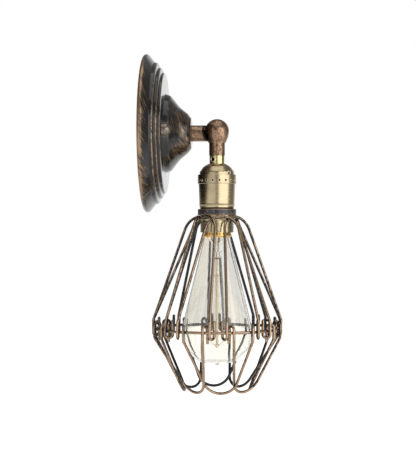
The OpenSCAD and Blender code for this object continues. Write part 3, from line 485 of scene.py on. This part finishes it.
def spun_brass(name, shade, bright, roughness, lines):
    """Brass whose tone wanders a little, with lathe lines in its gloss and height."""
    mat, tree, shader = material(name, bright, 1.0, roughness)
    spot = object_place(tree)
    age = placed_effect(tree, mottling, spot, Scale=70.0)
    rings = placed_effect(tree, lathe_lines, spot).outputs["Fac"]
    mixed = place(tree, "ShaderNodeMath", {0: rings, 1: 0.35, 2: age.outputs["Tone"]},
                  operation="MULTIPLY_ADD")
    tinted(tree, shader, mixed.outputs[0], shade, bright)
    glossed(tree, shader, rings, roughness - 0.06, roughness + 0.06)
    bumped(tree, shader, rings, lines, 0.0001)
    return mat


olive_lacquer = {"shade": (0.41, 0.335, 0.20), "bright": (0.52, 0.43, 0.27),
                 "roughness": 0.26, "lines": 0.10}
satin_brass = spun_brass("satin_olive_brass", **olive_lacquer)
neck_brass = spun_brass("polished_brass", (0.58, 0.46, 0.22), (0.72, 0.58, 0.30), 0.14, 0.06)
plain_brass = spun_brass("plain_brass", (0.62, 0.45, 0.18), (0.78, 0.60, 0.28), 0.24, 0.1)
dress(satin_brass, "socket_cap", "vent_band", "socket_shell")
dress(neck_brass, "socket_neck")
dress(plain_brass, "terminal_screws", "screw_shell", "contact_spring")

# Sleeve: the same lacquered brass, turned and threaded for the collar. The groove that shows
# between shell and collar is darkened as painted shade, fading out over a third of a millimetre.
groove_low = -0.0671
groove_high = -0.0668
groove_shade = (0.018, 0.014, 0.010)
sleeve_brass = spun_brass("sleeve_brass", **olive_lacquer)
tree = sleeve_brass.node_tree
shader = tree.nodes["Principled BSDF"]
lacquer_tone = shader.inputs["Base Color"].links[0].from_socket
# Painted shade: the sleeve's colour turns dark in the band of the groove under the shell.
apart = place(tree, "ShaderNodeSeparateXYZ", {0: object_place(tree)})
groove_darkening = place(tree, "ShaderNodeMapRange", {"Value": apart.outputs["Z"], "From Min": groove_low,
                                          "From Max": groove_high})
colour = place(tree, "ShaderNodeMix", {"Factor": groove_darkening.outputs["Result"], 6: lacquer_tone, 7: (*groove_shade, 1.0)},
               data_type="RGBA")
tree.links.new(colour.outputs[2], shader.inputs["Base Color"])
dress(sleeve_brass, "thread_sleeve")


# Lips: each vent hole, the set screw's hole and the cap screw's hole is pushed through from
# inside, which leaves a small bright raised rim round it.
head_x = 0.064
band_radius = 0.0169
vent_z = -0.0419
vent_radius = 0.00085
vent_count = 18
lip_sunk = 0.00004
bright_lip, tree, shader = material("bright_lip", (0.80, 0.72, 0.50), 1.0, 0.2)
glossed(tree, shader, noise_at(tree, object_place(tree), 900.0, 2.0), 0.12, 0.3)


def lips(turns, z, radius, hole, lip):
    """Half-round rims on a drum of the given radius, one at each turn in degrees. A point's reach
    from its hole's middle is the hole's radius plus a lip less a lip times a cosine, and its height
    over the drum is a lip times a sine, less what is sunk into it."""
    turn = np.radians(np.asarray(turns, float))[:, None, None]
    across = np.linspace(0, pi, 7)[None, :, None]
    around = np.linspace(0, 2 * pi, 28, endpoint=False)[None, None, :]
    reach = hole + lip - lip * np.cos(across)
    angle = turn + reach * np.cos(around) / radius
    out = radius - lip_sunk + lip * np.sin(across)
    return np.stack(np.broadcast_arrays(head_x + out * np.cos(angle), out * np.sin(angle),
                                        z + reach * np.sin(around)), axis=-1)


vents = lips(np.arange(vent_count) * 360 / vent_count, vent_z, band_radius, vent_radius, lip=0.00022)
rims = {f"vent_lip_{number + 1}": rim for number, rim in enumerate(vents)}
rims["neck_hole_lip"] = lips([-122.0], z=-0.0233, radius=0.0066, hole=0.0017, lip=0.00045)[0]
rims["cap_hole_lip"] = lips([-44.0], z=-0.0354, radius=0.0153, hole=0.00115, lip=0.0004)[0]
for name, rim in rims.items():
    finished(skin(name, rim), bright_lip, "head", "aged_brass")

# Lampholder body: white porcelain, pressed, fired and glazed, in the middle of the socket. It
# carries the terminals and the threaded brass shell.
porcelain, tree, shader = material("porcelain_glaze", (0.82, 0.80, 0.74), 0.0, 0.18, Coat_Weight=0.6,
                                   Coat_Roughness=0.05)
tinted(tree, shader, noise_at(tree, object_place(tree), 180.0, 3.0), (0.76, 0.73, 0.66), (0.86, 0.84, 0.79))
dress(porcelain, "lampholder_body")

# Cage collar: a turned steel nut under the shell, dark grey, whose two edges have been rubbed
# back to bronze.
collar_top = -0.0669
collar_end = -0.0724
collar_grey = (0.050, 0.050, 0.054)
rubbed_bronze = (0.36, 0.25, 0.16)
rub = [(0.0, 1.0), (0.12, 0.9), (0.2, 0.0), (0.82, 0.0), (0.9, 0.9), (1.0, 1.0)]
collar_coat, tree, shader = material("dark_collar", (0.06, 0.06, 0.065), 0.5, 0.30)
spot = object_place(tree)
apart = place(tree, "ShaderNodeSeparateXYZ", {0: spot})
height = place(tree, "ShaderNodeMapRange", {"Value": apart.outputs["Z"], "From Min": collar_end,
                                            "From Max": collar_top})
edges = place(tree, "ShaderNodeValToRGB", {"Fac": height.outputs["Result"]})
stops = edges.color_ramp.elements
for at, amount in rub[1:-1]:
    stops.new(at)
for stop, (at, amount) in zip(stops, rub):
    stop.position = at
    stop.color = (amount, amount, amount, 1.0)
age = placed_effect(tree, mottling, spot, Scale=210.0)
patches = place(tree, "ShaderNodeMapRange", {"Value": age.outputs["Tone"], "From Min": 0.72, "From Max": 1.0})
rubbed = place(tree, "ShaderNodeMath", {0: edges.outputs["Color"], 1: patches.outputs["Result"]},
               operation="MAXIMUM")
broken = place(tree, "ShaderNodeMath", {0: age.outputs["Tone"], 1: 0.5, 2: 0.55}, operation="MULTIPLY_ADD")
mask = place(tree, "ShaderNodeMath", {0: rubbed.outputs[0], 1: broken.outputs[0]}, operation="MULTIPLY")
tinted(tree, shader, mask.outputs[0], collar_grey, rubbed_bronze)
bumped(tree, shader, age.outputs["Height"], 0.25, 0.0002)
dress(collar_coat, "cage_collar")


# Cage: a ring, eight tall loops above it and eight petals below, all of round steel wire. Each wire
# is bent in one piece, hooked round the ring at both feet, painted black and brushed with copper.
wire_radius = 0.00125
ring_radius = 0.054
ring_z = -0.1725
hook_gap = 0.00012
hook_radius = 2 * wire_radius + hook_gap
leg_radius = ring_radius + hook_radius
hook_drop = 0.0029
hook_skew = 0.0033
bend_radius = 0.007
wire_step = 45.0
first_turn = -86.0
wire_gold = (0.42, 0.29, 0.19)
tall_loop = {"foot": 37.6, "reach": 0.0178, "z": -0.07375, "top_turn": 14.5, "yaw": radians(18.4),
             "radius": 0.015, "up": 1, "kink": 0.008, "rise": 0.009}
petal = {"foot": 31.5, "reach": 0.029, "z": -0.22651, "top_turn": 6.0, "yaw": radians(9.9),
         "radius": 0.015, "up": -1, "kink": 0.007, "rise": 0.0085}
ring_middle = np.array([head_x, 0.0, ring_z])


def polar(radius, turn, z):
    """Points at a radius and a turn in degrees round the lamp's axis, at a height: the radius times
    cosine and sine, from the axis."""
    turn = np.radians(turn)
    return np.stack(np.broadcast_arrays(head_x + radius * np.cos(turn), radius * np.sin(turn), z), axis=-1)


def straight(a, b, steps):
    """Points between two ends, without the ends."""
    share = np.linspace(0, 1, steps + 2)[1:-1, None]
    return a + (b - a) * share


def hook(turn, skew, up, rise):
    """A hook round the ring: half a turn from the outer leg to the inner stub, creeping sideways
    by half a cosine, then the straight stub."""
    half = np.linspace(0, pi, 13)
    creep = skew * np.degrees(hook_skew / ring_radius)
    low = ring_z - up * hook_drop - up * hook_radius * np.sin(half)
    bow = polar(ring_radius + hook_radius * np.cos(half), turn + creep * (1 - np.cos(half)) / 2, low)
    stub = polar(ring_radius - hook_radius, turn + creep, ring_z + up * rise)
    return np.vstack([bow, straight(bow[-1], stub, 3), stub[None]])


def arch(radius, left, right):
    """An arc through the arch's top whose ends point at the two feet, in the arch's own plane: the
    radius times a sine to the side, and the radius less its cosine down."""
    reach_l, reach_r = np.hypot(left[0], left[1] - radius), np.hypot(right[0], right[1] - radius)
    lean_l = np.arctan2(-left[0], left[1] - radius) - np.arcsin(radius / reach_l)
    lean_r = np.arctan2(right[0], right[1] - radius) - np.arcsin(radius / reach_r)
    turn = np.linspace(lean_l - pi / 2, pi / 2 - lean_r, 37)
    return radius * np.sin(turn), radius * (1 - np.cos(turn))


def cage_wire(middle, foot, reach, z, top_turn, yaw, radius, up, kink, rise):
    """The way of one cage wire: stub, hook, leg, arch, leg, hook and stub. Its legs bend a kink away
    from the ring, a foot in degrees to each side of its middle, and the stubs rise as far as they
    say. The arch's top has its own reach, height and turn, and its plane passes through both legs,
    a yaw out of square, so that the wires cross like a weave. Up is 1 above the ring, -1 below."""
    leg_l, leg_r = (polar(leg_radius, middle + side * foot, ring_z + up * kink) for side in (-1, 1))
    turn = radians(middle + top_turn)
    top = polar(reach, middle + top_turn, z)
    down = unit((leg_l + leg_r) / 2 - top)
    across = np.array([-sin(turn), cos(turn), 0]) * cos(yaw) + np.array([cos(turn), sin(turn), 0]) * sin(yaw)
    wide = unit(across - down * (across @ down))
    left, right = (((leg - top) @ wide, (leg - top) @ down) for leg in (leg_l, leg_r))
    side, drop = arch(radius, left, right)
    bow = top + side[:, None] * wide + drop[:, None] * down
    hook_l = hook(middle - foot, -1, up, rise)[::-1]
    hook_r = hook(middle + foot, 1, up, rise)
    bend_l = arc_at(hook_l[-1], leg_l, bow[0], bend_radius, 7)
    bend_r = arc_at(bow[-1], leg_r, hook_r[0], bend_radius, 7)
    way = np.vstack([hook_l, bend_l, straight(bend_l[-1], bow[0], 18), bow, straight(bow[-1], bend_r[0], 18),
                     bend_r, hook_r])
    return way, wide


def outer_side(points, facing):
    """How far each point of the cage faces away from the ring's middle, from 0 to 1, where height
    counts a quarter."""
    away = (points - ring_middle) * (1.0, 1.0, 0.25)
    return np.clip((facing * unit(away)).sum(axis=-1) * 0.5 + 0.5, 0, 1)


def rod(name, way, radius, aside, sides=16, cap_rows=5):
    """A round rod along a way. Each ring lies square to the heading: the frame of the direction
    `aside` is carried to the heading by the shortest turn, and the ends close as half balls. Each
    point keeps how far it faces out."""
    heading = unit(np.gradient(way, axis=0))
    swell = np.linspace(0, pi / 2, cap_rows + 1)[:-1]
    way = np.vstack([way[0] - heading[0] * radius * np.cos(swell)[:, None], way,
                     way[-1] + heading[-1] * radius * np.cos(swell)[::-1, None]])
    heading = np.vstack([np.repeat(heading[:1], cap_rows, axis=0), heading,
                         np.repeat(heading[-1:], cap_rows, axis=0)])
    size = radius * np.concatenate([np.sin(swell), np.ones(len(way) - 2 * cap_rows), np.sin(swell)[::-1]])
    aside = unit(np.asarray(aside, float))
    first = unit(np.cross(aside, [0.3, 0.5, 0.81]))
    second = np.cross(aside, first)
    turned = np.cross(aside, heading)
    cosine = (heading @ aside)[:, None]

    def carried(v):
        """v turned as the shortest turn brings aside to each heading."""
        return v * cosine + np.cross(turned, v) + turned * (turned @ v)[:, None] / (1 + cosine)

    around = np.linspace(0, 2 * pi, sides, endpoint=False)[None, :, None]
    facing = carried(first)[:, None] * np.cos(around) + carried(second)[:, None] * np.sin(around)
    points = way[:, None] + size[:, None, None] * facing
    return skin(name, points, outer_side(points, facing))


# Brushed gold lies on the half of each wire that faces out, and the inner half stays black: partly brush
# wear, partly a painted highlight on the outer side and painted shade on the inner side.
cage_coat, tree, shader = material("cage_black_brushed", coat_black, 0.0, 0.26)
strokes = placed_effect(tree, brush_marks, object_place(tree), Scale=1200.0, Softness=0.06)
outside = place(tree, "ShaderNodeAttribute", attribute_name="wear_and_painted_light")
level = place(tree, "ShaderNodeMath", {0: outside.outputs["Fac"], 1: -0.62, 2: 1.12},
              operation="MULTIPLY_ADD")
tree.links.new(level.outputs[0], strokes.inputs["Level"])
tinted(tree, shader, strokes.outputs["Mask"], coat_black, wire_gold)
tree.links.new(strokes.outputs["Mask"], shader.inputs["Metallic"])
bumped(tree, shader, strokes.outputs["Height"], 0.3, 0.0002)

around = np.linspace(0, 360, 240, endpoint=False)[:, None]
section = np.linspace(0, 2 * pi, 20, endpoint=False)[None, :]
ring_wire = polar(ring_radius + wire_radius * np.cos(section), around, ring_z + wire_radius * np.sin(section))
# The ring takes the gold on its outer half only: brush wear and painted highlight, with painted shade on its
# black inner half.
ring = skin("brushed_ring", ring_wire, np.cos(section) * 0.5 + 0.5, closed_along=True)
finished(ring, cage_coat, "cage", "cage_coat", "cage_ring")
for number in range(1, 9):
    middle = first_turn + wire_step * (number - 1)
    for name, shape, node in (("tall_loop", tall_loop, "upper_loop"), ("petal", petal, "lower_petal")):
        way, wide = cage_wire(middle, **shape)
        wire = rod(f"{name}_{number}", way, wire_radius, wide)
        finished(wire, cage_coat, "cage", "cage_coat", f"{node}_{number}")


# Bulb: a blown glass envelope that tapers from a round shoulder to its screw base, with a flat lower
# end and a sealed tip. The wall has its thickness, and the glass is faintly amber.
def lathed(name, outline, steps=128):
    """An outline of radius and height, from pole to pole, turned round the lamp's axis."""
    turn = np.linspace(0, 360, steps, endpoint=False)[None, :]
    return skin(name, polar(outline[:, :1], turn, outline[:, 1:]))


bulb_radius = 0.031
neck_radius = 0.0117
glass_top = -0.092
glass_low = -0.202
bulb_low = -0.2056
glass_height = glass_top - bulb_low
wide_z = glass_top - glass_height * 0.72
glass_wall = 0.0008
glass_line = smooth_line([
    (neck_radius, glass_top + 0.0015), (neck_radius, glass_top - 0.001), (bulb_radius + 0.0006, wide_z),
    (bulb_radius * 0.93, glass_low + (wide_z - glass_low) * 0.42),
    (bulb_radius * 0.44 + 0.003, glass_low), (0.0051, glass_low), (0.0026, glass_low - 0.0007),
    (0.00195, glass_low - 0.0022), (0.00104, bulb_low + 0.0004), (0.0, bulb_low)],
    [0.004, 0.014, 0.012, 0.006, 0.001, 0.001, 0.001, 0.0005])
wall = moved_in(glass_line, glass_wall)
wall = wall[(wall[:, 0] > 0) & (wall[:, 1] > glass_low + 0.0004)]
envelope = np.vstack([[[0.0, wall[-1, 1]]], wall[::-1], glass_line])
amber = (0.975, 0.95, 0.885)
streak_reflection_grey = (0.87, 0.87, 0.86)
amber_glass, tree, shader = material("amber_glass", (0.985, 0.96, 0.90), 0.0, 0.0, Transmission_Weight=1.0,
                                     IOR=1.45)
# Grey streaks down the glass: partly draw lines, partly a painted reflection of the grey the bulb shows.
drawn = place(tree, "ShaderNodeVectorMath", {0: object_place(tree), 1: (1.0, 1.0, 0.06)},
              operation="MULTIPLY")
lines = noise_at(tree, drawn.outputs[0], 42.0, 3.0)
grey_streaks = place(tree, "ShaderNodeMapRange", {"Value": lines, "From Min": 0.46, "From Max": 0.64})
tinted(tree, shader, grey_streaks.outputs["Result"], amber, streak_reflection_grey)
bumped(tree, shader, lines, 0.05, 0.002)
finished(lathed("blown_envelope", envelope), amber_glass, "bulb", "clear_glass", "bulb_glass")

# Inside the bulb: the glass stem with its press, and a cream glass rod with two beads that carries
# the filament.
stem_low = glass_top - 0.019
stem_line = smooth_line([
    (0.0, stem_low + 0.006), (0.0035, stem_low + 0.006), (0.0037, glass_top - 0.0048),
    (0.0100, glass_top + 0.0012), (0.0108, glass_top + 0.0012), (0.0108, glass_top + 0.0006),
    (0.0044, glass_top - 0.005), (0.0044, stem_low + 0.003), (0.0019, stem_low), (0.0, stem_low)],
    [0.001, 0.0025, 0.0002, 0.0002, 0.0002, 0.0025, 0.002, 0.0004], steps=8)
finished(lathed("stem_tube", stem_line, 72), amber_glass, "bulb", "clear_glass", "bulb_stem")

cream_glass, tree, shader = material("cream_glass", (0.86, 0.78, 0.58), 0.0, 0.22, Coat_Weight=0.4,
                                     Subsurface_Weight=0.2, Subsurface_Scale=0.003)
tinted(tree, shader, noise_at(tree, object_place(tree), 240.0, 2.0), (0.78, 0.68, 0.46), (0.92, 0.86, 0.68))
dress(cream_glass, "bulb_support_rod")

# Base: a rolled brass thread with a gold wash, the black glass insulator and the solder of the
# centre contact under the lampholder's tongue.
gold_wash = spun_brass("gold_wash", (0.70, 0.42, 0.12), (0.92, 0.62, 0.24), 0.2, 0.08)
dress(gold_wash, "bulb_base")
insulator, tree, shader = material("black_glass", (0.012, 0.012, 0.014), 0.0, 0.08, Coat_Weight=0.5)
bumped(tree, shader, noise_at(tree, object_place(tree), 500.0, 2.0), 0.15, 0.0002)
dress(insulator, "bulb_base_insulator")
solder = mottled_metal("solder", (0.40, 0.40, 0.42), (0.66, 0.66, 0.66), (0.78, 0.78, 0.78), 380.0, 0.3, 0.3)
dress(solder, "bulb_centre_contact")

# Filament: a fine carbon wire strung down from bead to bead of the glass rod and bowed outwards, in
# eight strands.
rod_low = glass_top - glass_height * 0.86
bead_top = stem_low - 0.0148
bead_low = rod_low + 0.0023
bead_radius = 0.0023
strand_radius = 0.0001
strand_step = 45.0
filament = mottled_metal("carbon_filament", (0.10, 0.085, 0.07), (0.34, 0.28, 0.22), (0.55, 0.48, 0.40),
                         700.0, 0.3, 0.1)
bow = smooth_line([(bead_radius, bead_top), (0.00715, bead_top - 0.004), (0.013, bead_low + 0.008),
                   (bead_radius, bead_low)], [0.004, 0.004], steps=9)
for number in range(8):
    turn = number * strand_step
    way = polar(bow[:, 0], turn, bow[:, 1])
    aside = (-sin(radians(turn)), cos(radians(turn)), 0.0)
    strand = rod(f"strand_{number + 1}", way, strand_radius, aside, sides=6)
    finished(strand, filament, "bulb", "carbon_filament")
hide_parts("bulb_filament")
